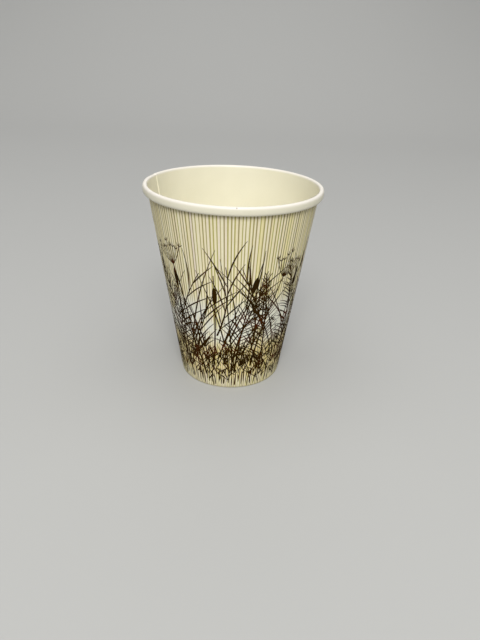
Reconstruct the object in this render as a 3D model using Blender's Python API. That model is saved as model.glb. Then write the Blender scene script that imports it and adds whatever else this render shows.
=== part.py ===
"""A used paper coffee cup, standing empty and without a lid.

The real cup is two pieces of board. The sidewall is one blank, wrapped and lapped at a side seam, with its top
edge rolled outward into the rim and its bottom edge folded in and up as a hem. The bottom is a disc with a
turned-down skirt, which the hem holds against the foot of the wall.

The origin is on the axis at the plane that the cup stands on, with +Z up.
"""

import math

import bmesh
import bpy

MM = 0.001

# Outer sizes
HEIGHT = 88.0 * MM
RIM_RADIUS = 38.0 * MM
FOOT_RADIUS = 23.4 * MM

# Board and the room that two facing sheets keep
BOARD = 0.35 * MM
GAP = 0.30 * MM

# Rolled rim, a squarish oval in section, open along its underside
CURL_WIDTH = 2.1 * MM
CURL_HEIGHT = 3.5 * MM
CURL_SQUARENESS = 2.8
CURL_END = math.radians(-105.0)
CURL_FACETS = (3, 4, 4)

# Foot: the hem and its fold, and the raised floor
HEM_HEIGHT = 6.8 * MM
FOLD_RADIUS = 0.08 * MM
FLOOR_HEIGHT = 8.0 * MM
FLOOR_CORNER = 0.60 * MM

# Side seam. The inner raw edge shows inside the cup and the outer one is round at the back.
SEAM_ANGLE = math.radians(161.0)
LAP_ANGLE = math.radians(15.5)
RAMP_ANGLE = math.radians(9.0)
EDGE_ANGLE = math.radians(0.25)
LAP_ON_WALL = 1.0
LAP_IN_RIM = 0.5
LAP_IN_FOLD = 0.0

# Facets around the axis
WALL_SIDES = 120
FLOOR_SIDES = 96
CORNER_STEPS = 2
SHARP_ANGLE = math.radians(35.0)

# Heights up the wall where the printed fields change
FIELD_HEIGHTS = [4.5 * MM, 10.0 * MM, 24.0 * MM, 31.0 * MM, 46.0 * MM, 62.0 * MM, 76.0 * MM]
PLAIN_HEIGHTS = [9.0 * MM, 46.0 * MM, 80.0 * MM]
SPRIG_SPACING = 7

CURL_CENTRE = (RIM_RADIUS - CURL_WIDTH / 2, HEIGHT - CURL_HEIGHT / 2)
CURL_DUAL = CURL_SQUARENESS / (CURL_SQUARENESS - 1)
POCKET = BOARD + 2 * GAP


def curl_reach(slope):
    """How far the curl's oval reaches inward of its centre, level with it, for a wall of this slope."""
    return ((CURL_WIDTH / 2) ** CURL_DUAL + (slope * CURL_HEIGHT / 2) ** CURL_DUAL) ** (1 / CURL_DUAL)


def wall_slope():
    """Outward run of the wall for each unit of height, so that its inner face runs tangent into the curl."""
    slope = 0.0
    for _ in range(20):
        inner_foot = FOOT_RADIUS - BOARD * math.hypot(1, slope)
        slope = (CURL_CENTRE[0] - inner_foot - curl_reach(slope)) / CURL_CENTRE[1]
    return slope


SLOPE = wall_slope()
LEAN = math.atan(SLOPE)
CURL_START = math.pi - math.atan((SLOPE * CURL_HEIGHT / CURL_WIDTH) ** (CURL_DUAL / 2))


def radius_at(height, depth):
    """Radius at a height on a line that lies this deep behind the printed face."""
    return FOOT_RADIUS + SLOPE * height - depth / math.cos(LEAN)


def fold_corner(depth, first_angle, last_angle):
    """One rounded corner of the fold at the foot. The lap is pressed flat there.

    Each point is (radius, height, direction across the board, share of the lap's extra thickness).
    """
    height = BOARD + FOLD_RADIUS
    centre = radius_at(height, depth)
    points = []
    for step in range(CORNER_STEPS + 1):
        angle = first_angle + (last_angle - first_angle) * step / CORNER_STEPS
        radius = centre + FOLD_RADIUS * math.cos(angle)
        points.append((radius, height + FOLD_RADIUS * math.sin(angle), angle, LAP_IN_FOLD))
    return points


def curl_turns():
    """Angles round the curl's oval, with facet corners at its highest and outermost points."""
    stops = (CURL_START, math.pi / 2, 0.0, CURL_END)
    turns = [CURL_START]
    for facets, first, last in zip(CURL_FACETS, stops, stops[1:]):
        turns += [first + (last - first) * (index + 1) / facets for index in range(facets)]
    return turns


def signed_power(value, power):
    return math.copysign(abs(value) ** power, value)


def curl_points():
    """The rolled rim, from the top of the wall over and under to its free edge."""
    points = []
    half_width = CURL_WIDTH / 2
    half_height = CURL_HEIGHT / 2
    for turn in curl_turns():
        aside = signed_power(math.cos(turn), 2 / CURL_SQUARENESS)
        above = signed_power(math.sin(turn), 2 / CURL_SQUARENESS)
        outward = signed_power(aside, CURL_SQUARENESS - 1) / half_width
        upward = signed_power(above, CURL_SQUARENESS - 1) / half_height
        across = math.atan2(-upward, -outward)
        radius = CURL_CENTRE[0] + half_width * aside
        points.append((radius, CURL_CENTRE[1] + half_height * above, across, LAP_IN_RIM))
    return points


def drink_face(heights):
    """The unprinted face of the blank, from the free edge of the hem to that of the rim."""
    hem_depth = BOARD + POCKET
    points = [(radius_at(HEM_HEIGHT, hem_depth), HEM_HEIGHT, math.pi - LEAN, LAP_IN_FOLD)]
    points += fold_corner(hem_depth - FOLD_RADIUS, math.pi - LEAN, math.pi * 1.5)
    points += fold_corner(BOARD + FOLD_RADIUS, math.pi * 1.5, math.pi * 2 - LEAN)
    points += [(radius_at(height, BOARD), height, -LEAN, LAP_ON_WALL) for height in heights]
    return points + curl_points()


def section_at(angle):
    """The closed outline of the blank's section at one angle round the cup."""
    offset = SEAM_ANGLE - angle
    inner = 0.0
    outer = 0.0
    if -RAMP_ANGLE < offset < 0:
        inner = 1 + offset / RAMP_ANGLE
        outer = inner
    elif 0 < offset < LAP_ANGLE:
        outer = 1.0
    outline = []
    for radius, height, across, share in drink_face(PLAIN_HEIGHTS):
        move = BOARD * inner * share
        outline.append((radius + move * math.cos(across), height + move * math.sin(across)))
    for radius, height, across, share in reversed(drink_face(FIELD_HEIGHTS)):
        move = BOARD * (1 + outer * share)
        outline.append((radius + move * math.cos(across), height + move * math.sin(across)))
    return outline


def wall_angles():
    """Evenly spaced angles, with a close pair at each raw edge of the seam."""
    edges = [SEAM_ANGLE, SEAM_ANGLE - LAP_ANGLE]
    pitch = 2 * math.pi / WALL_SIDES
    angles = [index * pitch for index in range(WALL_SIDES)]
    angles = [angle for angle in angles if min(abs(angle - edge) for edge in edges) > pitch / 4]
    for edge in edges:
        angles += [edge - EDGE_ANGLE / 2, edge + EDGE_ANGLE / 2]
    return sorted(angles)


def printed_field(angle, low, high):
    """Material index of the print between two heights: 0 cream and 1 olive stripes, 2 brown."""
    column = int(angle / (2 * math.pi) * WALL_SIDES + 0.5)
    stripe = column % 2
    middle = (low + high) / 2
    if FIELD_HEIGHTS[1] < middle < FIELD_HEIGHTS[2]:
        return 2 if column % 5 else stripe
    if FIELD_HEIGHTS[2] < middle < FIELD_HEIGHTS[3]:
        return 2 if column % 5 in (1, 3) else stripe
    sprig = column // SPRIG_SPACING
    if FIELD_HEIGHTS[3] < middle < FIELD_HEIGHTS[4 + sprig % 2]:
        return 2 if column % SPRIG_SPACING == 3 else stripe
    return stripe


def linear(value):
    """One sRGB channel, 0 to 255, as a linear value."""
    value /= 255
    return value / 12.92 if value <= 0.04045 else ((value + 0.055) / 1.055) ** 2.4


def make_material(name, colour, roughness):
    material = bpy.data.materials.new(name)
    material.use_nodes = True
    shader = material.node_tree.nodes["Principled BSDF"]
    shader.inputs["Base Color"].default_value = (*[linear(value) for value in colour], 1.0)
    shader.inputs["Roughness"].default_value = roughness
    shader.inputs["Metallic"].default_value = 0.0
    material.diffuse_color = shader.inputs["Base Color"].default_value
    return material


def place(name, mesh, parent):
    obj = bpy.data.objects.new(name, mesh)
    obj.parent = parent
    bpy.context.scene.collection.objects.link(obj)
    return obj


def make_sidewall(parent):
    """The wrapped blank with its lap seam, rolled rim and folded hem."""
    angles = wall_angles()
    shape = bmesh.new()
    rings = []
    for angle in angles:
        outline = section_at(angle)
        points = [(r * math.cos(angle), r * math.sin(angle), z) for r, z in outline]
        rings.append([shape.verts.new(point) for point in points])
    count = len(rings[0])
    first_field = count - len(drink_face(FIELD_HEIGHTS)) + sum(CURL_FACETS)
    last_field = first_field + len(FIELD_HEIGHTS) + 1
    for index, ring in enumerate(rings):
        following = rings[(index + 1) % len(rings)]
        for step in range(count):
            after = (step + 1) % count
            face = shape.faces.new((ring[step], following[step], following[after], ring[after]))
            if first_field <= step < last_field:
                heights = sorted((ring[step].co.z, ring[after].co.z))
                face.material_index = printed_field(angles[index], *heights)
            else:
                face.material_index = 3
    bmesh.ops.recalc_face_normals(shape, faces=shape.faces)
    mesh = bpy.data.meshes.new("sidewall")
    shape.to_mesh(mesh)
    shape.free()
    mesh.materials.append(make_material("cream_stripe", (240, 230, 200), 0.55))
    mesh.materials.append(make_material("olive_stripe", (186, 178, 122), 0.55))
    mesh.materials.append(make_material("brown_print", (74, 46, 22), 0.55))
    mesh.materials.append(make_material("white_board", (243, 238, 226), 0.45))
    mesh.shade_smooth()
    mesh.set_sharp_from_angle(angle=SHARP_ANGLE)
    return place("sidewall", mesh, parent)


def floor_arc(radius, angles):
    """Points of the floor's rounded edge, about one centre for its upper and lower face."""
    height = FLOOR_HEIGHT - FLOOR_CORNER
    centre = radius_at(height, BOARD + GAP + FLOOR_CORNER)
    return [(centre + radius * math.cos(a), height + radius * math.sin(a)) for a in angles]


def make_bottom(parent):
    """The raised floor and its turned-down skirt, as one turned profile."""
    steps = CORNER_STEPS + 1
    turn = [math.pi / 2 - (math.pi / 2 + LEAN) * step / steps for step in range(steps + 1)]
    skirt_foot = BOARD + GAP
    outline = [(0.0, FLOOR_HEIGHT)] + floor_arc(FLOOR_CORNER, turn)
    outline.append((radius_at(skirt_foot, BOARD + GAP), skirt_foot))
    outline.append((radius_at(skirt_foot, 2 * BOARD + GAP), skirt_foot))
    outline += floor_arc(FLOOR_CORNER - BOARD, reversed(turn))
    outline.append((0.0, FLOOR_HEIGHT - BOARD))
    mesh = bpy.data.meshes.new("bottom")
    edges = [(index, index + 1) for index in range(len(outline) - 1)]
    mesh.from_pydata([(radius, 0.0, height) for radius, height in outline], edges, [])
    mesh.materials.append(make_material("floor_board", (240, 233, 214), 0.45))
    bottom = place("bottom", mesh, parent)
    turned = bottom.modifiers.new("turned", "SCREW")
    turned.angle = 2 * math.pi
    turned.steps = FLOOR_SIDES
    turned.render_steps = FLOOR_SIDES
    turned.use_merge_vertices = True
    turned.merge_threshold = 0.01 * MM
    turned.use_smooth_shade = True
    return bottom


def main():
    for obj in list(bpy.data.objects):
        bpy.data.objects.remove(obj, do_unlink=True)
    cup = bpy.data.objects.new("coffee_cup", None)
    bpy.context.scene.collection.objects.link(cup)
    make_sidewall(cup)
    make_bottom(cup)


main()
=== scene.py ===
"""The looks of the used paper coffee cup.

The sidewall and the bottom are remade as fine meshes on the sections of the model, and node materials
give their board its finish. The print is a thin film of ink strokes on the wall: fern fronds, bulrushes,
umbels, reeds, tufts of grass and a thicket near the foot, over fine stripes that run up the wall.
"""

import math
import random

import bpy
from mathutils import Matrix, Vector


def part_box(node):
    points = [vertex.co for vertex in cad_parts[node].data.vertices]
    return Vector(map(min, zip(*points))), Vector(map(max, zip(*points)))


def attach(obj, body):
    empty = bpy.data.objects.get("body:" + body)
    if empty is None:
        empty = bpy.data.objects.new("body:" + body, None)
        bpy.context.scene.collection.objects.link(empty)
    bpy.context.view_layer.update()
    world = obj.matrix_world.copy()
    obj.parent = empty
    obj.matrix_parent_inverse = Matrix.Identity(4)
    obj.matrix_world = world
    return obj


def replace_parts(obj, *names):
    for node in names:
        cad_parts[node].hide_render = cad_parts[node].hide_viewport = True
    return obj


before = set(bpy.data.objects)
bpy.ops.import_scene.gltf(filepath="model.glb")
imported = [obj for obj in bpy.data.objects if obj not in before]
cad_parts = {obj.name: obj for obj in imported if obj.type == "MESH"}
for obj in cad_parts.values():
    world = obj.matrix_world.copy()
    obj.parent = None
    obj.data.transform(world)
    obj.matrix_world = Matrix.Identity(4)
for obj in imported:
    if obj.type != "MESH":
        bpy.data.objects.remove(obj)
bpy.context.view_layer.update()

MM = 0.001
BODY = "root"
BAKED_MAP = "OFBake"

# Sizes of the cup. The height and the rim come from the frame.
WALL_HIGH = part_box("sidewall")[1]
HEIGHT = WALL_HIGH.z
RIM_RADIUS = WALL_HIGH.x
FOOT_RADIUS = 23.4 * MM
BOARD = 0.35 * MM
GAP = 0.30 * MM
CURL_WIDTH = 2.1 * MM
CURL_HEIGHT = 3.5 * MM
CURL_SQUARENESS = 2.8
CURL_END = math.radians(-105.0)
CURL_FACETS = (10, 10, 14)
HEM_HEIGHT = 6.8 * MM
FOLD_RADIUS = 0.08 * MM
FLOOR_HEIGHT = 8.0 * MM
FLOOR_CORNER = 0.60 * MM
SEAM_ANGLE = math.radians(161.0)
LAP_ANGLE = math.radians(15.5)
RAMP_ANGLE = math.radians(9.0)
EDGE_ANGLE = math.radians(0.25)
LAP_ON_WALL = 1.0
LAP_IN_RIM = 0.5
LAP_IN_FOLD = 0.0
CURL_CENTRE = (RIM_RADIUS - CURL_WIDTH / 2, HEIGHT - CURL_HEIGHT / 2)
CURL_DUAL = CURL_SQUARENESS / (CURL_SQUARENESS - 1)
POCKET = BOARD + 2 * GAP

# Fineness of the meshes, and how closely angles are told apart
SLOPE_ROUNDS = 20
WALL_SIDES = 480
PRINT_ROWS = 26
DRINK_ROWS = 14
CORNER_STEPS = 5
FLOOR_SIDES = 240
FLOOR_RINGS = 24
SHARP_ANGLE = math.radians(35.0)
ANGLE_MARGIN = EDGE_ANGLE / 10

# Camera, by the photograph's perspective. The lens is for a 36 mm sensor on the picture's long side.
CAMERA_DISTANCE = 227.2 * MM
CAMERA_HEIGHT = 140.8 * MM
CAMERA_TILT = 0.4765
CAMERA_TURN = 0.0693
CAMERA_ROLL = 0.0527
CAMERA_CLIP = (1 * MM, 20.0)
PICTURE_HEIGHT = 640
FOCAL_PIXELS = 535.0
AXIS_PIXELS_RIGHT = 24.4
SENSOR = 36.0

# Stage: a floor that sweeps up into a backdrop. Sizes in metres.
STAGE_HALF_WIDTH = 3.0
STAGE_FRONT = -3.0
STAGE_NEAR = -0.5
STAGE_BACK = 1.4
SWEEP_RADIUS = 0.7
SWEEP_STEPS = 16
STAGE_TOP = 3.0
STAGE_COLOUR = (184, 184, 181)
BOUNCE_COLOUR = (150, 150, 152)
STAGE_ROUGHNESS = 0.9
STAGE_SHINE = 0.1

# Lights: place and size in metres, power in watts. The surroundings brighten from the horizon to the
# zenith, and weaken towards the left and the right.
KEY_LIGHT = ((0.0, -0.9, 0.85), 0.5, 8.4)
BACK_LIGHT = ((0.0, 1.2, 0.7), 1.0, 2.0)
SKY_LOW = 0.20
SKY_HIGH = 1.40
SKY_RISE = (0.15, 0.85)
SKY_SIDES = (0.30, 0.85)
SKY_SIDE_SHARE = 0.25
SKY_SEEN = 0.52

# Finish of the board. A noise is given by its scale, detail, roughness and stretch, and a bump by its
# depth and strength. A step is the pair of values between which it rises.
GRAIN_NOISE = (2200.0, 3.0, 0.6)
GRAIN_BUMP = (0.008 * MM, 0.5)
FIBRE_NOISE = (700.0, 2.0, 0.5, (1.0, 1.0, 0.35))
FIBRE_BUMP = (0.02 * MM, 0.5)
UNEVEN_NOISE = (90.0, 1.0)
UNEVEN_BUMP = (0.25 * MM, 0.35)
MIDDLE_STEP = (0.3, 0.7)
ROUGHNESS_SPREAD = 0.06

# Stripes of the print. A ramp's stops are a place and a colour, with channels from 0 to 255.
STRIPES = 160
STRIPE_SHIFT = 0.20
STRIPE_NARROW = 0.12
STRIPE_SPREAD = 0.10
STRIPE_SOFT = 0.07
OLIVES = (
    (0.0, (168, 154, 88)),
    (0.3, (182, 169, 104)),
    (0.55, (188, 179, 94)),
    (0.8, (172, 156, 102)),
    (1.0, (148, 133, 76)),
)
CREAMS = (
    (0.0, (252, 241, 200)),
    (0.35, (254, 246, 214)),
    (0.60, (250, 239, 182)),
    (0.85, (253, 242, 212)),
    (1.0, (250, 238, 220)),
)
PRINT_ROUGHNESS = 0.50
PRINT_SHINE = 0.12

# Pale patches where the plants stand, a tint below them, a mottle all over, and a darker line along the
# foot's edge, partly wear and partly painted shade where the foot meets the floor
PALE_NOISE = (85.0, 2.0, 0.5, (1.0, 1.0, 0.55))
PALE_STEP = (0.41, 0.50)
PALE_RISE = (20 * MM, 30 * MM)
PALE_FALL = (40 * MM, 50 * MM)
PALE_SHARE = 0.9
PALE_COLOUR = (246, 246, 230)
TINT_RISE = (4 * MM, 9 * MM)
TINT_FALL = (20 * MM, 28 * MM)
TINT_SHARE = 0.40
TINT_COLOUR = (224, 196, 100)
MOTTLE_NOISE = (260.0, 3.0, 0.6)
MOTTLE_STEP = (0.35, 0.75)
MOTTLE_SHARE = 0.10
MOTTLE_COLOUR = (206, 190, 140)
# Darker along the foot's edge: partly wear, partly painted shade where the foot meets the floor
WEAR_AND_SHADE_STEP = (0.45 * MM, 1.1 * MM)
WEAR_AND_SHADE_SHARE = 0.5
WEAR_AND_SHADE_COLOUR = (116, 100, 66)

# The coated face, with painted light that makes the top of the rim paler, and a speck on the outside of the
# rim, at the front
DRINK_NOISE = (70.0, 2.0, 0.5)
DRINK_COLOURS = ((238, 233, 209), (235, 230, 205))
DRINK_ROUGHNESS = 0.40
# Painted light: the top of the rim is paler
PAINTED_RIM_LIGHT_STEP = (HEIGHT - 1.2 * MM, HEIGHT - 0.2 * MM)
PAINTED_RIM_LIGHT_COLOUR = (241, 235, 223)
RIM_SPECK = (1.1 * MM, -37.68 * MM, 87.7 * MM)
SPECK_RADIUS = 0.36 * MM
SPECK_SHARE = 0.6
SPECK_COLOUR = (120, 104, 70)

# The cut edge of the board
CUT_NOISE = (2600.0, 3.0, 0.7)
CUT_COLOURS = ((250, 246, 226), (232, 224, 196))
CUT_BUMP = 0.03 * MM
CUT_STEP = (0.2, 0.8)
CUT_ROUGHNESS = (0.75, 0.9)

# The ink
INK_NOISE = (160.0, 2.0, 0.6)
INK_BROWNS = (
    (0.30, (40, 26, 2)),
    (0.52, (52, 32, 2)),
    (0.70, (74, 34, 8)),
)
INK_GRAIN_NOISE = (2200.0, 2.0)
INK_BUMP = (0.006 * MM, 0.4)
INK_ROUGHNESS = (0.60, 0.70)
INK_SHINE = 0.04

# Ink strokes
INK_LIFT = 0.03 * MM
INK_SINK = 0.05 * MM
STROKE_RUN = 1.2 * MM
OUTER_EDGE = SEAM_ANGLE - LAP_ANGLE
EDGE_SPLITS = 8
LEAF_BELLY = 0.7
SPINDLE_BLUNTNESS = 0.4

# Stands of plants round the cup. Each moves from its even place by up to waver of the spacing. Feet and
# lengths are ranges in millimetres, leans are in degrees and bends in degrees a millimetre.
FRONDS = dict(count=14, waver=0.2, start=0.5, foot=(6, 16), length=(40, 50), lean=12, bend=0.7)
BULRUSHES = dict(count=12, waver=0.3, start=0.35, foot=(8, 14), length=(48, 58), lean=8, bend=0.3)
UMBELS = dict(count=7, waver=0.3, start=0.75, foot=(8, 14), length=(42, 50), lean=8, bend=0.3)
REEDS = dict(count=20, waver=0.4, start=0.0, foot=(14, 32), length=(28, 40), lean=24, bend=1)

# Parts of the plants, in the same units. Widths are in metres where a stroke's root or middle is given
# with its tip, and in millimetres in a range. Lengths of blades are shares of their plant's.
THICK_STEM = (0.9 * MM, 0.5 * MM)
FROND_HALF_WIDTH = 13.0 * MM
FROND_FIRST_PAIR = 2
FROND_NARROWING = (1.04, 0.6)
FROND_SWELLING = (0.6, 2)
LEAFLET_PITCH = 1.9 * MM
LEAFLET_SPREAD = 48
LEAFLET_CLOSING = 22
LEAFLET_WAVER = (-5, 5)
LEAFLET_DROOP = (1.0, 4.0)
LEAFLET_SHIFT = (-0.4, 0.4)
LEAFLET_LENGTH = (0.85, 1.15)
LEAFLET_WIDTH = (0.45, 0.58)
LEAFLET_THINNING = 0.25
LEAFLET_TIP = 0.16 * MM
BLADE_SPREAD = (4, 20)
BLADE_BOW = (0.1, 0.9)
BLADE_ASIDE = (0.4, 2.2)
BLADE_FOOT = (-3, 6)
BLADE_LENGTH = (0.7, 1.15)
BLADE_WIDTH = (0.5, 0.68)
BLADE_TIP = 0.18 * MM
BULRUSH_STEM = (0.8 * MM, 0.35 * MM)
BULRUSH_BLADES = (4, 6)
HEAD_PLACE = 0.74
HEAD_LENGTH = (7, 9)
HEAD_WIDTHS = (2.1 * MM, 0.5 * MM)
UMBEL_SIDES = (0.35, 0.6)
UMBEL_TOP = 1.0
UMBEL_TURN = 28
TOP_RAYS = (8, 10)
TOP_FAN = 58
SIDE_RAYS = 3
SIDE_FAN = 20
RAY_LENGTH = (7, 11)
RAY_BEND = 2.5
RAY_WIDTH = 0.35 * MM
BRISTLES = 3
BRISTLE_LENGTH = 2.4 * MM
BRISTLE_FAN = 40
REED_STEM = (0.8 * MM, 0.3 * MM)
REED_BLADES = (6, 9)
REED_LOWEST_BLADE = 0.1
REED_BLADED_SHARE = 0.8
REED_BOW = (0.3, 1.5)
REED_SPREAD = (8, 24)
REED_BLADE_LENGTH = (0.35, 0.6)
REED_BLADE_WIDTH = (0.5, 0.65)

# Tufts of blades and the thicket. Three numbers are the lowest, highest and likeliest of a range.
TUFT_WAVER = (-4, 4)
TUFT_UNEVENNESS = (-0.6, 0.6)
TUFT_BOW = 1.2
TUFT_LENGTH = (0.55, 1.0)
TUFT_WIDTH = (0.36, 0.48)
TUFT_TIP = 0.12 * MM
MIDDLE_TUFTS = 36
MIDDLE_TUFT_WAVER = 0.5
MIDDLE_TUFT_FOOT = (12, 26)
MIDDLE_TUFT_BLADES = (4, 6)
MIDDLE_TUFT_LENGTH = (9, 15)
MIDDLE_TUFT_FAN = 26
MIDDLE_TUFT_LEAN = 18
LOW_TUFTS = 52
LOW_TUFT_WAVER = 1.0
LOW_TUFT_FOOT = (3.0, 22.0, 8.0)
LOW_TUFT_FAN = (14, 34)
LOW_TUFT_BLADES = (3, 5)
LOW_TUFT_LENGTH = (7, 13)
LOW_TUFT_LEAN = 26
THICKET_STROKES = 900
THICKET_WAVER = 3.0
THICKET_FOOT = (3.0, 27.0, 7.0)
THICKET_LEAN = 24
THICKET_LENGTH = (2.5, 5.5)
THICKET_BEND = 4
THICKET_WIDTH = (0.4, 0.6)
FOOT_STROKES = 150
FOOT_STROKE_WAVER = 0.5
FOOT_STROKE_FOOT = (0.8, 4.0)
FOOT_STROKE_LEAN = 4
FOOT_STROKE_LENGTH = (3, 8)
FOOT_STROKE_WIDTH = (0.3, 0.5)
SHORT_TIP = 0.15 * MM
SEED = 26

random.seed(SEED)


def linear(value):
    """One sRGB channel, 0 to 255, as a linear value."""
    value /= 255
    return value / 12.92 if value <= 0.04045 else ((value + 0.055) / 1.055) ** 2.4


def colour(red, green, blue):
    return (linear(red), linear(green), linear(blue), 1.0)


def between(low, high):
    return random.uniform(low, high)


# Sections of the blank

def curl_reach(slope):
    """How far the curl's oval reaches inward of its centre, level with it, for a wall of this slope."""
    return ((CURL_WIDTH / 2) ** CURL_DUAL + (slope * CURL_HEIGHT / 2) ** CURL_DUAL) ** (1 / CURL_DUAL)


def wall_slope():
    """Outward run of the wall for each unit of height, so that its inner face runs tangent into the curl."""
    slope = 0.0
    for _ in range(SLOPE_ROUNDS):
        inner_foot = FOOT_RADIUS - BOARD * math.hypot(1, slope)
        slope = (CURL_CENTRE[0] - inner_foot - curl_reach(slope)) / CURL_CENTRE[1]
    return slope


SLOPE = wall_slope()
LEAN = math.atan(SLOPE)
CURL_START = math.pi - math.atan((SLOPE * CURL_HEIGHT / CURL_WIDTH) ** (CURL_DUAL / 2))
WALL_TOP = CURL_CENTRE[1] + CURL_HEIGHT / 2 * math.sin(CURL_START)


def radius_at(height, depth):
    """Radius at a height on a line that lies this deep behind the printed face."""
    return FOOT_RADIUS + SLOPE * height - depth / math.cos(LEAN)


def fold_corner(depth, first_angle, last_angle):
    """One rounded corner of the fold: points of radius, height, direction across the board and lap share."""
    height = BOARD + FOLD_RADIUS
    centre = radius_at(height, depth)
    points = []
    for step in range(CORNER_STEPS + 1):
        angle = first_angle + (last_angle - first_angle) * step / CORNER_STEPS
        radius = centre + FOLD_RADIUS * math.cos(angle)
        points.append((radius, height + FOLD_RADIUS * math.sin(angle), angle, LAP_IN_FOLD))
    return points


def curl_turns():
    """Angles round the curl's oval, with corners at its highest and outermost points."""
    stops = (CURL_START, math.pi / 2, 0.0, CURL_END)
    turns = [CURL_START]
    for facets, first, last in zip(CURL_FACETS, stops, stops[1:]):
        turns += [first + (last - first) * (index + 1) / facets for index in range(facets)]
    return turns


def signed_power(value, power):
    return math.copysign(abs(value) ** power, value)


def curl_points():
    """The rolled rim, from the top of the wall over and under to its free edge."""
    points = []
    half_width = CURL_WIDTH / 2
    half_height = CURL_HEIGHT / 2
    for turn in curl_turns():
        aside = signed_power(math.cos(turn), 2 / CURL_SQUARENESS)
        above = signed_power(math.sin(turn), 2 / CURL_SQUARENESS)
        outward = signed_power(aside, CURL_SQUARENESS - 1) / half_width
        upward = signed_power(above, CURL_SQUARENESS - 1) / half_height
        across = math.atan2(-upward, -outward)
        radius = CURL_CENTRE[0] + half_width * aside
        points.append((radius, CURL_CENTRE[1] + half_height * above, across, LAP_IN_RIM))
    return points


def row_heights(rows):
    """Evenly spaced heights between the fold and the curl."""
    low = BOARD + FOLD_RADIUS
    return [low + (WALL_TOP - low) * (index + 1) / (rows + 1) for index in range(rows)]


def face_points(rows):
    """The drink face of the blank, from the free edge of the hem to that of the rim."""
    hem_depth = BOARD + POCKET
    points = [(radius_at(HEM_HEIGHT, hem_depth), HEM_HEIGHT, math.pi - LEAN, LAP_IN_FOLD)]
    points += fold_corner(hem_depth - FOLD_RADIUS, math.pi - LEAN, math.pi * 1.5)
    points += fold_corner(BOARD + FOLD_RADIUS, math.pi * 1.5, math.pi * 2 - LEAN)
    points += [(radius_at(height, BOARD), height, -LEAN, LAP_ON_WALL) for height in row_heights(rows)]
    return points + curl_points()


def lap_layers(angle):
    """How far the inner and the outer face are pushed out by the lap at an angle, in board thicknesses."""
    offset = SEAM_ANGLE - angle
    if -RAMP_ANGLE < offset < 0:
        share = 1 + offset / RAMP_ANGLE
        return share, share
    if 0 < offset < LAP_ANGLE:
        return 0.0, 1.0
    return 0.0, 0.0


def section_at(angle, drink, printed):
    """The closed outline of the blank's section at one angle round the cup."""
    inner, outer = lap_layers(angle)
    outline = []
    for radius, height, across, share in drink:
        move = BOARD * inner * share
        outline.append((radius + move * math.cos(across), height + move * math.sin(across)))
    for radius, height, across, share in reversed(printed):
        move = BOARD * (1 + outer * share)
        outline.append((radius + move * math.cos(across), height + move * math.sin(across)))
    return outline


def wall_angles():
    """Evenly spaced angles, with a close pair at each raw edge of the seam."""
    edges = [SEAM_ANGLE, SEAM_ANGLE - LAP_ANGLE]
    pitch = 2 * math.pi / WALL_SIDES
    angles = [index * pitch for index in range(WALL_SIDES)]
    angles = [angle for angle in angles if min(abs(angle - edge) for edge in edges) > pitch / 4]
    for edge in edges:
        angles += [edge - EDGE_ANGLE / 2, edge + EDGE_ANGLE / 2]
    return sorted(angles)


# Node trees

class Nodes:
    """Short calls that add nodes to one tree and return their output sockets."""

    def __init__(self, tree):
        self.tree = tree

    def add(self, kind, **settings):
        node = self.tree.nodes.new(kind)
        for name, value in settings.items():
            setattr(node, name, value)
        return node

    def feed(self, socket, value):
        if isinstance(value, bpy.types.NodeSocket):
            self.tree.links.new(value, socket)
        else:
            socket.default_value = value

    def math(self, operation, *values):
        node = self.add("ShaderNodeMath", operation=operation)
        for socket, value in zip(node.inputs, values):
            self.feed(socket, value)
        return node.outputs[0]

    def split(self, vector):
        node = self.add("ShaderNodeSeparateXYZ")
        self.feed(node.inputs[0], vector)
        return node.outputs

    def step(self, value, low, high, smooth=True, to=(0.0, 1.0)):
        """Rises from the first to the second value of to, as value goes from low to high."""
        node = self.add("ShaderNodeMapRange", interpolation_type="SMOOTHSTEP" if smooth else "LINEAR")
        for socket, given in zip(node.inputs, (value, low, high, *to)):
            self.feed(socket, given)
        return node.outputs[0]

    def mix(self, share, first, second):
        node = self.add("ShaderNodeMix", data_type="RGBA")
        self.feed(node.inputs["Factor"], share)
        self.feed(node.inputs[6], first)
        self.feed(node.inputs[7], second)
        return node.outputs[2]

    def ramp(self, value, stops):
        """A colour that follows stops of place and colour."""
        node = self.add("ShaderNodeValToRGB")
        elements = node.color_ramp.elements
        while len(elements) < len(stops):
            elements.new(0.5)
        for element, (position, shade) in zip(elements, stops):
            element.position = position
            element.color = colour(*shade)
        self.feed(node.inputs[0], value)
        return node.outputs[0]

    def chance(self, value):
        """Three random numbers for each whole number."""
        node = self.add("ShaderNodeTexWhiteNoise", noise_dimensions="1D")
        self.feed(node.inputs["W"], value)
        return self.split(node.outputs["Color"])

    def bump(self, height, distance, strength=1.0, under=None):
        node = self.add("ShaderNodeBump")
        self.feed(node.inputs["Height"], height)
        node.inputs["Distance"].default_value = distance
        node.inputs["Strength"].default_value = strength
        if under is not None:
            self.feed(node.inputs["Normal"], under)
        return node.outputs[0]


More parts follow.
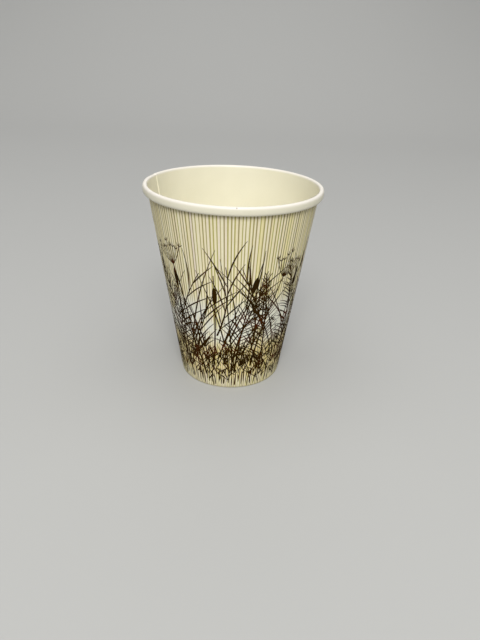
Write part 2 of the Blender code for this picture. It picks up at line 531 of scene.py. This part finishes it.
class Surface(Nodes):
    """The nodes of one new material."""

    def __init__(self, name):
        self.material = bpy.data.materials.new(name)
        self.material.use_nodes = True
        super().__init__(self.material.node_tree)
        self.shader = self.tree.nodes["Principled BSDF"]
        self.place = self.add("ShaderNodeTexCoord").outputs["Object"]

    def noise(self, scale, detail=2.0, roughness=0.5, stretch=(1.0, 1.0, 1.0)):
        mapping = self.add("ShaderNodeMapping")
        self.feed(mapping.inputs["Vector"], self.place)
        mapping.inputs["Scale"].default_value = stretch
        node = self.add("ShaderNodeTexNoise")
        self.feed(node.inputs["Vector"], mapping.outputs[0])
        node.inputs["Scale"].default_value = scale
        node.inputs["Detail"].default_value = detail
        node.inputs["Roughness"].default_value = roughness
        return node.outputs[0]

    def finish(self, base, roughness, normal, shine=0.5):
        self.shader.inputs["Specular IOR Level"].default_value = shine
        self.feed(self.shader.inputs["Base Color"], base)
        self.feed(self.shader.inputs["Roughness"], roughness)
        self.feed(self.shader.inputs["Normal"], normal)
        return self.material


def board_surface(nodes, roughness):
    """Fine fibre grain and slow unevenness of the board: its roughness and its normal."""
    grain = nodes.noise(*GRAIN_NOISE)
    fibre = nodes.noise(*FIBRE_NOISE)
    uneven = nodes.noise(*UNEVEN_NOISE)
    normal = nodes.bump(uneven, *UNEVEN_BUMP)
    normal = nodes.bump(fibre, *FIBRE_BUMP, normal)
    normal = nodes.bump(grain, *GRAIN_BUMP, normal)
    ends = (roughness - ROUGHNESS_SPREAD, roughness + ROUGHNESS_SPREAD)
    return nodes.step(fibre, *MIDDLE_STEP, False, ends), normal


def stripes(nodes, x, y):
    """Olive stripes of uneven width, place and colour on cream bars."""
    turn = nodes.math("MULTIPLY", nodes.math("ARCTAN2", y, x), STRIPES / (2 * math.pi))
    first, second, third = nodes.chance(nodes.math("FLOOR", turn))
    inside = nodes.math("FRACT", turn)
    centre = nodes.step(first, 0.0, 1.0, False, (0.5 - STRIPE_SHIFT / 2, 0.5 + STRIPE_SHIFT / 2))
    away = nodes.math("ABSOLUTE", nodes.math("SUBTRACT", inside, centre))
    half = nodes.math("MULTIPLY_ADD", second, STRIPE_SPREAD, STRIPE_NARROW)
    low = nodes.math("SUBTRACT", half, STRIPE_SOFT)
    high = nodes.math("ADD", half, STRIPE_SOFT)
    line = nodes.step(away, low, high, True, (1.0, 0.0))
    olive = nodes.ramp(third, OLIVES)
    bar = nodes.math("FLOOR", nodes.math("ADD", turn, STRIPES + 0.5))
    cream = nodes.ramp(nodes.chance(bar)[0], CREAMS)
    return nodes.mix(line, cream, olive)


def printed_face():
    """The striped print, with pale patches where the plants stand, a tint below them, and a darker foot edge
    that is partly wear and partly painted shade.
    """
    nodes = Surface("printed_face")
    x, y, z = nodes.split(nodes.place)
    base = stripes(nodes, x, y)
    patch = nodes.step(nodes.noise(*PALE_NOISE), *PALE_STEP)
    rise = nodes.step(z, *PALE_RISE)
    fall = nodes.step(z, *PALE_FALL, True, (1.0, 0.0))
    zone = nodes.math("MULTIPLY", rise, fall)
    pale = nodes.math("MULTIPLY", zone, nodes.math("MULTIPLY", patch, PALE_SHARE))
    base = nodes.mix(pale, base, colour(*PALE_COLOUR))
    low_rise = nodes.step(z, *TINT_RISE)
    low_fall = nodes.step(z, *TINT_FALL, True, (TINT_SHARE, 0.0))
    base = nodes.mix(nodes.math("MULTIPLY", low_rise, low_fall), base, colour(*TINT_COLOUR))
    mottle = nodes.step(nodes.noise(*MOTTLE_NOISE), *MOTTLE_STEP, True, (0.0, MOTTLE_SHARE))
    base = nodes.mix(mottle, base, colour(*MOTTLE_COLOUR))
    # Darker along the foot's edge: partly wear, partly painted shade where the foot meets the floor
    wear_and_shade = nodes.step(z, *WEAR_AND_SHADE_STEP, True, (WEAR_AND_SHADE_SHARE, 0.0))
    base = nodes.mix(wear_and_shade, base, colour(*WEAR_AND_SHADE_COLOUR))
    roughness, normal = board_surface(nodes, PRINT_ROUGHNESS)
    return nodes.finish(base, roughness, normal, PRINT_SHINE)


def drink_face():
    """The coated cream face of the board, inside the cup and over the rim, with painted light on the top of
    the rim.
    """
    nodes = Surface("drink_face")
    slow = nodes.noise(*DRINK_NOISE)
    first, second = [colour(*shade) for shade in DRINK_COLOURS]
    inner = nodes.mix(nodes.step(slow, *MIDDLE_STEP), first, second)
    _, _, z = nodes.split(nodes.place)
    # Painted light: the top of the rim is paler
    base = nodes.mix(nodes.step(z, *PAINTED_RIM_LIGHT_STEP), inner, colour(*PAINTED_RIM_LIGHT_COLOUR))
    span = nodes.add("ShaderNodeVectorMath", operation="DISTANCE")
    nodes.feed(span.inputs[0], nodes.place)
    span.inputs[1].default_value = RIM_SPECK
    speck = nodes.step(span.outputs["Value"], SPECK_RADIUS / 2, SPECK_RADIUS, True, (SPECK_SHARE, 0.0))
    base = nodes.mix(speck, base, colour(*SPECK_COLOUR))
    roughness, normal = board_surface(nodes, DRINK_ROUGHNESS)
    return nodes.finish(base, roughness, normal)


def raw_edge():
    """Cut edge of the board: white and fibrous."""
    nodes = Surface("raw_edge")
    fibre = nodes.noise(*CUT_NOISE)
    base = nodes.mix(fibre, *[colour(*shade) for shade in CUT_COLOURS])
    normal = nodes.bump(fibre, CUT_BUMP)
    return nodes.finish(base, nodes.step(fibre, *CUT_STEP, False, CUT_ROUGHNESS), normal)


def ink():
    """Dark brown printing ink, a little redder where it lies thick."""
    nodes = Surface("brown_ink")
    base = nodes.ramp(nodes.noise(*INK_NOISE), INK_BROWNS)
    grain = nodes.noise(*INK_GRAIN_NOISE)
    normal = nodes.bump(grain, *INK_BUMP)
    return nodes.finish(base, nodes.step(grain, *MIDDLE_STEP, False, INK_ROUGHNESS), normal, INK_SHINE)


# Meshes

def add_piece(name, points, faces, materials, slots, map_points):
    """A shown piece from its points, faces, one material index a face and one map point a face corner."""
    mesh = bpy.data.meshes.new(name)
    mesh.from_pydata(points, [], faces)
    for material in materials:
        mesh.materials.append(material)
    mesh.polygons.foreach_set("material_index", slots)
    layer = mesh.uv_layers.new(name=BAKED_MAP)
    layer.data.foreach_set("uv", [number for corner in map_points for number in corner])
    mesh.shade_smooth()
    mesh.set_sharp_from_angle(angle=SHARP_ANGLE)
    piece = bpy.data.objects.new(name, mesh)
    bpy.context.scene.collection.objects.link(piece)
    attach(piece, BODY)
    return piece


# Strips of the baked map, from low to high. The printed face has two, one for each half of the cup, and
# the raw edges of the rim and the hem share the rim's.
MAP_FIRST_HALF = (0.002, 0.420)
MAP_SECOND_HALF = (0.430, 0.850)
MAP_INSIDE = (0.860, 0.945)
MAP_RIM = (0.952, 0.972)
MAP_FOLD = (0.978, 0.990)


def strip(band, share):
    return band[0] + (band[1] - band[0]) * share


def make_wall():
    """The wrapped blank with its lap seam, rolled rim and folded hem."""
    drink = face_points(DRINK_ROWS)
    printed = face_points(PRINT_ROWS)
    angles = wall_angles()
    corners = 1 + 2 * (CORNER_STEPS + 1)
    curl = sum(CURL_FACETS) + 1
    count = len(drink) + len(printed)
    zones = []
    zones += ["fold"] * (corners - 1) + ["inside"] * (DRINK_ROWS + 1) + ["rim"] * (curl - 1) + ["edge"]
    zones += ["rim"] * (curl - 1) + ["print"] * (PRINT_ROWS + 1) + ["fold"] * (corners - 1) + ["edge"]
    kinds = {"print": 0, "inside": 1, "rim": 1, "fold": 1, "edge": 2}
    points = []
    for angle in angles:
        for radius, height in section_at(angle, drink, printed):
            points.append((radius * math.cos(angle), radius * math.sin(angle), height))
    keys = [(zone, step > len(drink)) for step, zone in enumerate(zones)]
    run_starts = {key: keys.index(key) for key in keys}
    run_lengths = {key: keys.count(key) for key in keys}
    faces = []
    slots = []
    map_points = []
    for index, angle in enumerate(angles):
        after = (index + 1) % len(angles)
        end = angles[after] if after else 2 * math.pi
        cut = abs(end - angle - EDGE_ANGLE) < ANGLE_MARGIN
        for step in range(count):
            following = (step + 1) % count
            corners_here = (
                (index, angle, following), (after, end, following), (after, end, step), (index, angle, step)
            )
            faces.append([ring * count + place for ring, _, place in corners_here])
            zone = zones[step]
            slots.append(2 if cut and zone in ("print", "inside") else kinds[zone])
            key = keys[step]
            for ring, turn, place in corners_here:
                height = points[ring * count + place][2]
                if zone == "print":
                    half = 1 if angle >= math.pi - ANGLE_MARGIN else 0
                    band = (MAP_FIRST_HALF, MAP_SECOND_HALF)[half]
                    map_points.append((turn / math.pi - half, strip(band, height / HEIGHT)))
                elif zone == "inside":
                    map_points.append((turn / (2 * math.pi), strip(MAP_INSIDE, height / HEIGHT)))
                else:
                    along = (step + (place != step) - run_starts[key]) / run_lengths[key]
                    band = MAP_RIM if zone in ("rim", "edge") else MAP_FOLD
                    middle = (band[0] + band[1]) / 2
                    part = (band[0], middle) if key[1] else (middle, band[1])
                    map_points.append((turn / (2 * math.pi), strip(part, along)))
    materials = [printed_face(), drink_face(), raw_edge()]
    wall = add_piece("wall", points, faces, materials, slots, map_points)
    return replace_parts(wall, "sidewall")


def floor_arc(radius, angles):
    height = FLOOR_HEIGHT - FLOOR_CORNER
    centre = radius_at(height, BOARD + GAP + FLOOR_CORNER)
    return [(centre + radius * math.cos(a), height + radius * math.sin(a)) for a in angles]


def make_disc(material):
    """The raised floor and its turned-down skirt."""
    steps = 3 * CORNER_STEPS
    turn = [math.pi / 2 - (math.pi / 2 + LEAN) * step / steps for step in range(steps + 1)]
    edge_top = floor_arc(FLOOR_CORNER, turn)
    edge_under = floor_arc(FLOOR_CORNER - BOARD, list(reversed(turn)))
    skirt_foot = BOARD + GAP
    rings = [(edge_top[0][0] * (index + 1) / FLOOR_RINGS, FLOOR_HEIGHT) for index in range(FLOOR_RINGS - 1)]
    outline = rings + edge_top
    outline.append((radius_at(skirt_foot, BOARD + GAP), skirt_foot))
    outline.append((radius_at(skirt_foot, 2 * BOARD + GAP), skirt_foot))
    outline += edge_under
    outline += [(radius, height - BOARD) for radius, height in reversed(rings)]
    points = [(0.0, 0.0, FLOOR_HEIGHT), (0.0, 0.0, FLOOR_HEIGHT - BOARD)]
    for side in range(FLOOR_SIDES):
        angle = 2 * math.pi * side / FLOOR_SIDES
        points += [(radius * math.cos(angle), radius * math.sin(angle), height) for radius, height in outline]
    count = len(outline)
    lengths = [0.0]
    previous = (0.0, FLOOR_HEIGHT)
    for point in outline:
        lengths.append(lengths[-1] + math.dist(previous, point))
        previous = point
    lengths.append(lengths[-1] + previous[0])
    faces = []
    map_points = []
    for side in range(FLOOR_SIDES):
        after = (side + 1) % FLOOR_SIDES
        here, there = 2 + side * count, 2 + after * count
        shares = (side / FLOOR_SIDES, (side + 1) / FLOOR_SIDES)
        heights = [length / lengths[-1] for length in lengths]
        faces.append([0, here, there])
        map_points += [(shares[0], 0.0), (shares[0], heights[1]), (shares[1], heights[1])]
        for step in range(count - 1):
            faces.append([here + step, here + step + 1, there + step + 1, there + step])
            low, high = heights[step + 1], heights[step + 2]
            map_points += [(shares[0], low), (shares[0], high), (shares[1], high), (shares[1], low)]
        faces.append([here + count - 1, 1, there + count - 1])
        map_points += [(shares[0], heights[-2]), (shares[0], 1.0), (shares[1], heights[-2])]
    disc = add_piece("disc", points, faces, [material], [0] * len(faces), map_points)
    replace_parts(disc, "bottom")


# Ink strokes

def outer_radius(angle, height):
    """Radius of the printed face, with the step of the lap, which is pressed flat towards the fold."""
    flat = BOARD + FOLD_RADIUS
    rise = (height - flat) / (row_heights(PRINT_ROWS)[0] - flat)
    lap = BOARD * lap_layers(angle % (2 * math.pi))[1] / math.cos(LEAN)
    return radius_at(height, 0.0) + lap * min(max(rise, 0.0), 1.0)


def past_edge(angle):
    """How far an angle lies past the outer raw edge, from minus half a turn to half a turn."""
    return (angle - OUTER_EDGE + math.pi) % (2 * math.pi) - math.pi


def straddles_edge(*sections):
    """Whether cross-sections of a stroke reach both sides of the outer raw edge, or lie on its step."""
    turns = [past_edge(angle) for section in sections for angle, _ in section]
    near = max(abs(turn) for turn in turns) < math.pi / 2
    return near and min(turns) < EDGE_ANGLE / 2 and max(turns) > -EDGE_ANGLE / 2


def across(angle, height, heading, half):
    """The left edge, right edge and middle of a stroke at one point of its path, as angle and height."""
    turn = half * math.cos(heading) / outer_radius(angle, height)
    rise = half * math.sin(heading)
    return (angle + turn, height + rise), (angle - turn, height - rise), (angle, height)


def trace(angle, height, heading, length, bend):
    """Points of an evenly bending stroke on the wall, as angle, height and heading from upright."""
    steps = max(3, math.ceil(length / STROKE_RUN))
    run = length / steps
    points = [(angle, height, heading)]
    for _ in range(steps):
        middle = heading + bend * run / 2
        angle -= run * math.sin(middle) / outer_radius(angle, height)
        height += run * math.cos(middle)
        heading += bend * run
        points.append((angle, height, heading))
    return points


class Ink:
    """Strokes gathered into one piece, each a thin closed sliver whose underside lies in the board."""

    def __init__(self):
        self.points = []
        self.faces = []
        self.map_points = []

    def put(self, angle, height, lift):
        radius = outer_radius(angle, height) + lift
        self.points.append((radius * math.cos(angle), radius * math.sin(angle), height))

    def stroke(self, path, width_at):
        """A stroke as wide as width_at says for each share of its path. The outer raw edge cuts it in two."""
        last = len(path) - 1
        spine = [(*point, width_at(index / last) / 2) for index, point in enumerate(path)]
        sections = []
        for start, end in zip(spine, spine[1:]):
            parts = EDGE_SPLITS if straddles_edge(across(*start), across(*end)) else 1
            for part in range(parts):
                sections.append(across(*[low + (high - low) * part / parts for low, high in zip(start, end)]))
        sections.append(across(*spine[-1]))
        run = []
        for section in sections:
            if run and straddles_edge(run[-1], section):
                self.sliver(run)
                run = []
            if not straddles_edge(section):
                run.append(section)
        self.sliver(run)

    def sliver(self, places):
        """One closed sliver through cross-sections, with its edges on the board and its middle in it."""
        if len(places) < 2:
            return
        first = len(self.points)
        for left, right, middle in places:
            self.put(*left, INK_LIFT)
            self.put(*right, INK_LIFT)
            self.put(*middle, -INK_SINK)
        start = places[0][2][0]
        around = start % (2 * math.pi)
        half_turn = 1 if around >= math.pi else 0
        band = (MAP_FIRST_HALF, MAP_SECOND_HALF)[half_turn]
        shift = start - around

        def on_map(spot):
            share = (spot[0] - shift) / math.pi - half_turn
            return (min(max(share, 0.0), 1.0), strip(band, min(max(spot[1] / HEIGHT, 0.0), 1.0)))

        def add(*corners):
            self.faces.append([first + 3 * index + side for index, side in corners])
            self.map_points += [on_map(places[index][side]) for index, side in corners]

        last = len(places) - 1
        for index in range(last):
            for side, other in ((0, 1), (1, 2), (2, 0)):
                add((index + 1, side), (index + 1, other), (index, other), (index, side))
        add((0, 0), (0, 1), (0, 2))
        add((last, 2), (last, 1), (last, 0))

    def piece(self, name, material):
        slots = [0] * len(self.faces)
        add_piece(name, self.points, self.faces, [material], slots, self.map_points)


def tapered(root, tip):
    """Width along a stroke that narrows evenly."""
    return lambda share: root + (tip - root) * share


def leaf(widest, tip):
    """Width along a narrow leaf, widest a little below its middle."""
    return lambda share: tip + (widest - tip) * math.sin(math.pi * share ** LEAF_BELLY)


def spindle(widest, tip):
    """Width along a seed head, blunt at both ends."""
    return lambda share: tip + (widest - tip) * abs(math.sin(math.pi * share)) ** SPINDLE_BLUNTNESS


def at_share(path, share):
    """The point of a path nearest to a share of its way."""
    return path[round(share * (len(path) - 1))]


def frond(film, angle, foot, length, lean, bend):
    """A fern frond: a stem with paired leaflets that droop outward and shorten towards its tip."""
    stem = trace(angle, foot, lean, length, bend)
    film.stroke(stem, tapered(*THICK_STEM))
    pairs = int(length / LEAFLET_PITCH)
    for pair in range(FROND_FIRST_PAIR, pairs + 1):
        share = pair / pairs
        stem_angle, height, heading = at_share(stem, share)
        narrowed = FROND_HALF_WIDTH * (FROND_NARROWING[0] - share) ** FROND_NARROWING[1]
        reach = narrowed * min(1.0, FROND_SWELLING[0] + FROND_SWELLING[1] * share)
        for side in (-1, 1):
            opening = LEAFLET_SPREAD - LEAFLET_CLOSING * share + between(*LEAFLET_WAVER)
            spread = side * math.radians(opening)
            droop = side * math.radians(between(*LEAFLET_DROOP)) / MM
            start = height + between(*LEAFLET_SHIFT) * MM
            path = trace(stem_angle, start, heading + spread, reach * between(*LEAFLET_LENGTH), droop)
            width = between(*LEAFLET_WIDTH) * (1.0 - LEAFLET_THINNING * share) * MM
            film.stroke(path, leaf(width, LEAFLET_TIP))


def blades(film, angle, foot, count, length, lean):
    """Long blades that leave one foot on alternate sides and bend away."""
    for blade in range(count):
        side = 1 if blade % 2 else -1
        heading = lean + side * math.radians(between(*BLADE_SPREAD))
        bow = side * math.radians(between(*BLADE_BOW)) / MM
        aside = side * between(*BLADE_ASIDE) * MM / FOOT_RADIUS
        start = foot + between(*BLADE_FOOT) * MM
        path = trace(angle - aside, start, heading, length * between(*BLADE_LENGTH), bow)
        film.stroke(path, leaf(between(*BLADE_WIDTH) * MM, BLADE_TIP))


def bulrush(film, angle, foot, length, lean, bend):
    """A bulrush: a thin stem with a dark seed head below its tip, and long blades from its foot."""
    stem = trace(angle, foot, lean, length, bend)
    film.stroke(stem, tapered(*BULRUSH_STEM))
    head = trace(*at_share(stem, HEAD_PLACE), between(*HEAD_LENGTH) * MM, bend)
    film.stroke(head, spindle(*HEAD_WIDTHS))
    blades(film, angle, foot, random.randint(*BULRUSH_BLADES), length, lean)


def umbel(film, angle, foot, length, lean, bend):
    """A tall stem that ends in a fan of rays with short bristles, and has two small fans below it."""
    stem = trace(angle, foot, lean, length, bend)
    film.stroke(stem, tapered(*THICK_STEM))
    for place in (*UMBEL_SIDES, UMBEL_TOP):
        top = place == UMBEL_TOP
        stem_angle, height, heading = at_share(stem, place)
        turn = 0.0 if top else random.choice((-1, 1)) * math.radians(UMBEL_TURN)
        rays = random.randint(*TOP_RAYS) if top else SIDE_RAYS
        for ray in range(rays):
            share = 2 * ray / (rays - 1) - 1
            spread = heading + turn + share * math.radians(TOP_FAN if top else SIDE_FAN)
            bow = -share * math.radians(RAY_BEND) / MM
            path = trace(stem_angle, height, spread, between(*RAY_LENGTH) * MM, bow)
            film.stroke(path, tapered(RAY_WIDTH, RAY_WIDTH))
            end_angle, end_height, end_heading = path[-1]
            fan = math.radians(BRISTLE_FAN)
            tuft(film, end_angle, end_height, BRISTLES, BRISTLE_LENGTH, fan, end_heading)


def reed(film, angle, foot, length, lean, bend):
    """A grass stem with long blades that leave it on both sides and bend away."""
    stem = trace(angle, foot, lean, length, bend)
    film.stroke(stem, tapered(*REED_STEM))
    count = random.randint(*REED_BLADES)
    for blade in range(count):
        place = REED_LOWEST_BLADE + REED_BLADED_SHARE * blade / count
        stem_angle, height, heading = at_share(stem, place)
        side = 1 if blade % 2 else -1
        bow = side * math.radians(between(*REED_BOW)) / MM
        spread = heading + side * math.radians(between(*REED_SPREAD))
        path = trace(stem_angle, height, spread, length * between(*REED_BLADE_LENGTH), bow)
        film.stroke(path, leaf(between(*REED_BLADE_WIDTH) * MM, BLADE_TIP))


def tuft(film, angle, foot, count, length, spread, lean):
    """Blades that fan out from one foot."""
    for blade in range(count):
        share = 2 * blade / (count - 1) - 1
        heading = lean + share * spread + math.radians(between(*TUFT_WAVER))
        bow = (share + between(*TUFT_UNEVENNESS)) * math.radians(TUFT_BOW) / MM
        path = trace(angle, foot, heading, length * between(*TUFT_LENGTH), bow)
        film.stroke(path, leaf(between(*TUFT_WIDTH) * MM, TUFT_TIP))


def around(count, waver, start=0.0):
    """Angles spread round the cup from a first share of their spacing, each moved by up to another share."""
    return [2 * math.pi * (start + number + between(-waver, waver)) / count for number in range(count)]


def leaning(most):
    return math.radians(between(-most, most))


def stand(film, plant, count, waver, start, foot, length, lean, bend):
    """Plants of one kind round the cup."""
    for angle in around(count, waver, start):
        size = (between(*foot) * MM, between(*length) * MM)
        plant(film, angle, *size, leaning(lean), leaning(bend) / MM)


def make_fronds(material):
    film = Ink()
    stand(film, frond, **FRONDS)
    film.piece("print_fronds", material)


def make_grass(material):
    film = Ink()
    stand(film, bulrush, **BULRUSHES)
    stand(film, umbel, **UMBELS)
    stand(film, reed, **REEDS)
    for angle in around(MIDDLE_TUFTS, MIDDLE_TUFT_WAVER):
        foot = between(*MIDDLE_TUFT_FOOT) * MM
        count = random.randint(*MIDDLE_TUFT_BLADES)
        length = between(*MIDDLE_TUFT_LENGTH) * MM
        tuft(film, angle, foot, count, length, math.radians(MIDDLE_TUFT_FAN), leaning(MIDDLE_TUFT_LEAN))
    film.piece("print_grass", material)


def make_thicket(material):
    film = Ink()
    for angle in around(LOW_TUFTS, LOW_TUFT_WAVER):
        foot = random.triangular(*LOW_TUFT_FOOT) * MM
        spread = math.radians(between(*LOW_TUFT_FAN))
        count = random.randint(*LOW_TUFT_BLADES)
        tuft(film, angle, foot, count, between(*LOW_TUFT_LENGTH) * MM, spread, leaning(LOW_TUFT_LEAN))
    for angle in around(THICKET_STROKES, THICKET_WAVER):
        foot = random.triangular(*THICKET_FOOT) * MM
        heading = math.radians(random.gauss(0, THICKET_LEAN))
        path = trace(angle, foot, heading, between(*THICKET_LENGTH) * MM, leaning(THICKET_BEND) / MM)
        film.stroke(path, leaf(between(*THICKET_WIDTH) * MM, SHORT_TIP))
    for angle in around(FOOT_STROKES, FOOT_STROKE_WAVER):
        foot = between(*FOOT_STROKE_FOOT) * MM
        path = trace(angle, foot, leaning(FOOT_STROKE_LEAN), between(*FOOT_STROKE_LENGTH) * MM, 0.0)
        film.stroke(path, leaf(between(*FOOT_STROKE_WIDTH) * MM, SHORT_TIP))
    film.piece("print_thicket", material)


# Stage, lights and camera

def seen_share(nodes):
    """One for the camera and for mirrored or transmitted views, and zero for the light thrown on the cup."""
    path = nodes.add("ShaderNodeLightPath")
    seen = nodes.math("MAXIMUM", path.outputs["Is Camera Ray"], path.outputs["Is Glossy Ray"])
    return nodes.math("MAXIMUM", seen, path.outputs["Is Transmission Ray"])


def stage_material():
    """Pale to the camera and greyer for the light that it throws back on the cup."""
    nodes = Surface("stage")
    shade = nodes.mix(seen_share(nodes), colour(*BOUNCE_COLOUR), colour(*STAGE_COLOUR))
    nodes.feed(nodes.shader.inputs["Base Color"], shade)
    nodes.shader.inputs["Roughness"].default_value = STAGE_ROUGHNESS
    nodes.shader.inputs["Specular IOR Level"].default_value = STAGE_SHINE
    return nodes.material


def make_stage():
    """A floor that sweeps up into a far backdrop."""
    foot = STAGE_BACK - SWEEP_RADIUS
    profile = [(STAGE_FRONT, 0.0), (STAGE_NEAR, 0.0), (foot / 2, 0.0)]
    for step in range(SWEEP_STEPS + 1):
        turn = math.pi / 2 * step / SWEEP_STEPS
        profile.append((foot + SWEEP_RADIUS * math.sin(turn), SWEEP_RADIUS * (1 - math.cos(turn))))
    profile.append((STAGE_BACK, STAGE_TOP))
    points = [(side * STAGE_HALF_WIDTH, y, z) for y, z in profile for side in (-1, 1)]
    faces = [(2 * i, 2 * i + 1, 2 * i + 3, 2 * i + 2) for i in range(len(profile) - 1)]
    mesh = bpy.data.meshes.new("stage")
    mesh.from_pydata(points, [], faces)
    mesh.materials.append(stage_material())
    mesh.shade_smooth()
    stage = bpy.data.objects.new("stage", mesh)
    bpy.context.scene.collection.objects.link(stage)


def add_light(name, place, size, power):
    """A white round lamp that faces the middle of the cup."""
    data = bpy.data.lights.new(name, "AREA")
    data.shape = "DISK"
    data.size = size
    data.energy = power
    lamp = bpy.data.objects.new(name, data)
    lamp.location = place
    lamp.rotation_mode = "QUATERNION"
    lamp.rotation_quaternion = (Vector((0, 0, HEIGHT / 2)) - Vector(place)).to_track_quat("-Z", "Y")
    bpy.context.scene.collection.objects.link(lamp)


def make_surroundings():
    """White light, stronger from above and weaker from the sides. The camera sees an even pale grey."""
    world = bpy.data.worlds.new("surroundings")
    world.use_nodes = True
    nodes = Nodes(world.node_tree)
    aside, _, height = nodes.split(nodes.add("ShaderNodeTexCoord").outputs["Generated"])
    sides = nodes.step(nodes.math("ABSOLUTE", aside), *SKY_SIDES, True, (1.0, SKY_SIDE_SHARE))
    sky = nodes.math("MULTIPLY", nodes.step(height, *SKY_RISE, True, (SKY_LOW, SKY_HIGH)), sides)
    plain = nodes.math("MULTIPLY", seen_share(nodes), SKY_SEEN)
    lighting = nodes.math("MULTIPLY", nodes.math("SUBTRACT", 1.0, seen_share(nodes)), sky)
    background = world.node_tree.nodes["Background"]
    background.inputs["Color"].default_value = (1.0, 1.0, 1.0, 1.0)
    nodes.feed(background.inputs["Strength"], nodes.math("ADD", plain, lighting))
    bpy.context.scene.world = world


def make_camera():
    forward = Vector((
        math.sin(CAMERA_TURN) * math.cos(CAMERA_TILT),
        math.cos(CAMERA_TURN) * math.cos(CAMERA_TILT),
        -math.sin(CAMERA_TILT),
    ))
    level = forward.cross(Vector((0, 0, 1))).normalized()
    above = level.cross(forward)
    right = math.cos(CAMERA_ROLL) * level + math.sin(CAMERA_ROLL) * above
    up = math.cos(CAMERA_ROLL) * above - math.sin(CAMERA_ROLL) * level
    turn = Matrix((right, up, -forward)).transposed()
    data = bpy.data.cameras.new("camera")
    data.sensor_width = SENSOR
    data.lens = SENSOR * FOCAL_PIXELS / PICTURE_HEIGHT
    data.shift_x = -AXIS_PIXELS_RIGHT / PICTURE_HEIGHT
    data.clip_start, data.clip_end = CAMERA_CLIP
    camera = bpy.data.objects.new("camera", data)
    camera.matrix_world = Matrix.Translation((0, -CAMERA_DISTANCE, CAMERA_HEIGHT)) @ turn.to_4x4()
    bpy.context.scene.collection.objects.link(camera)
    bpy.context.scene.camera = camera


def main():
    make_camera()
    add_light("key", *KEY_LIGHT)
    add_light("back", *BACK_LIGHT)
    make_surroundings()
    make_stage()
    wall = make_wall()
    make_disc(wall.data.materials[1])
    brown = ink()
    make_fronds(brown)
    make_grass(brown)
    make_thicket(brown)
    bpy.context.scene.view_settings.view_transform = "Standard"


main()
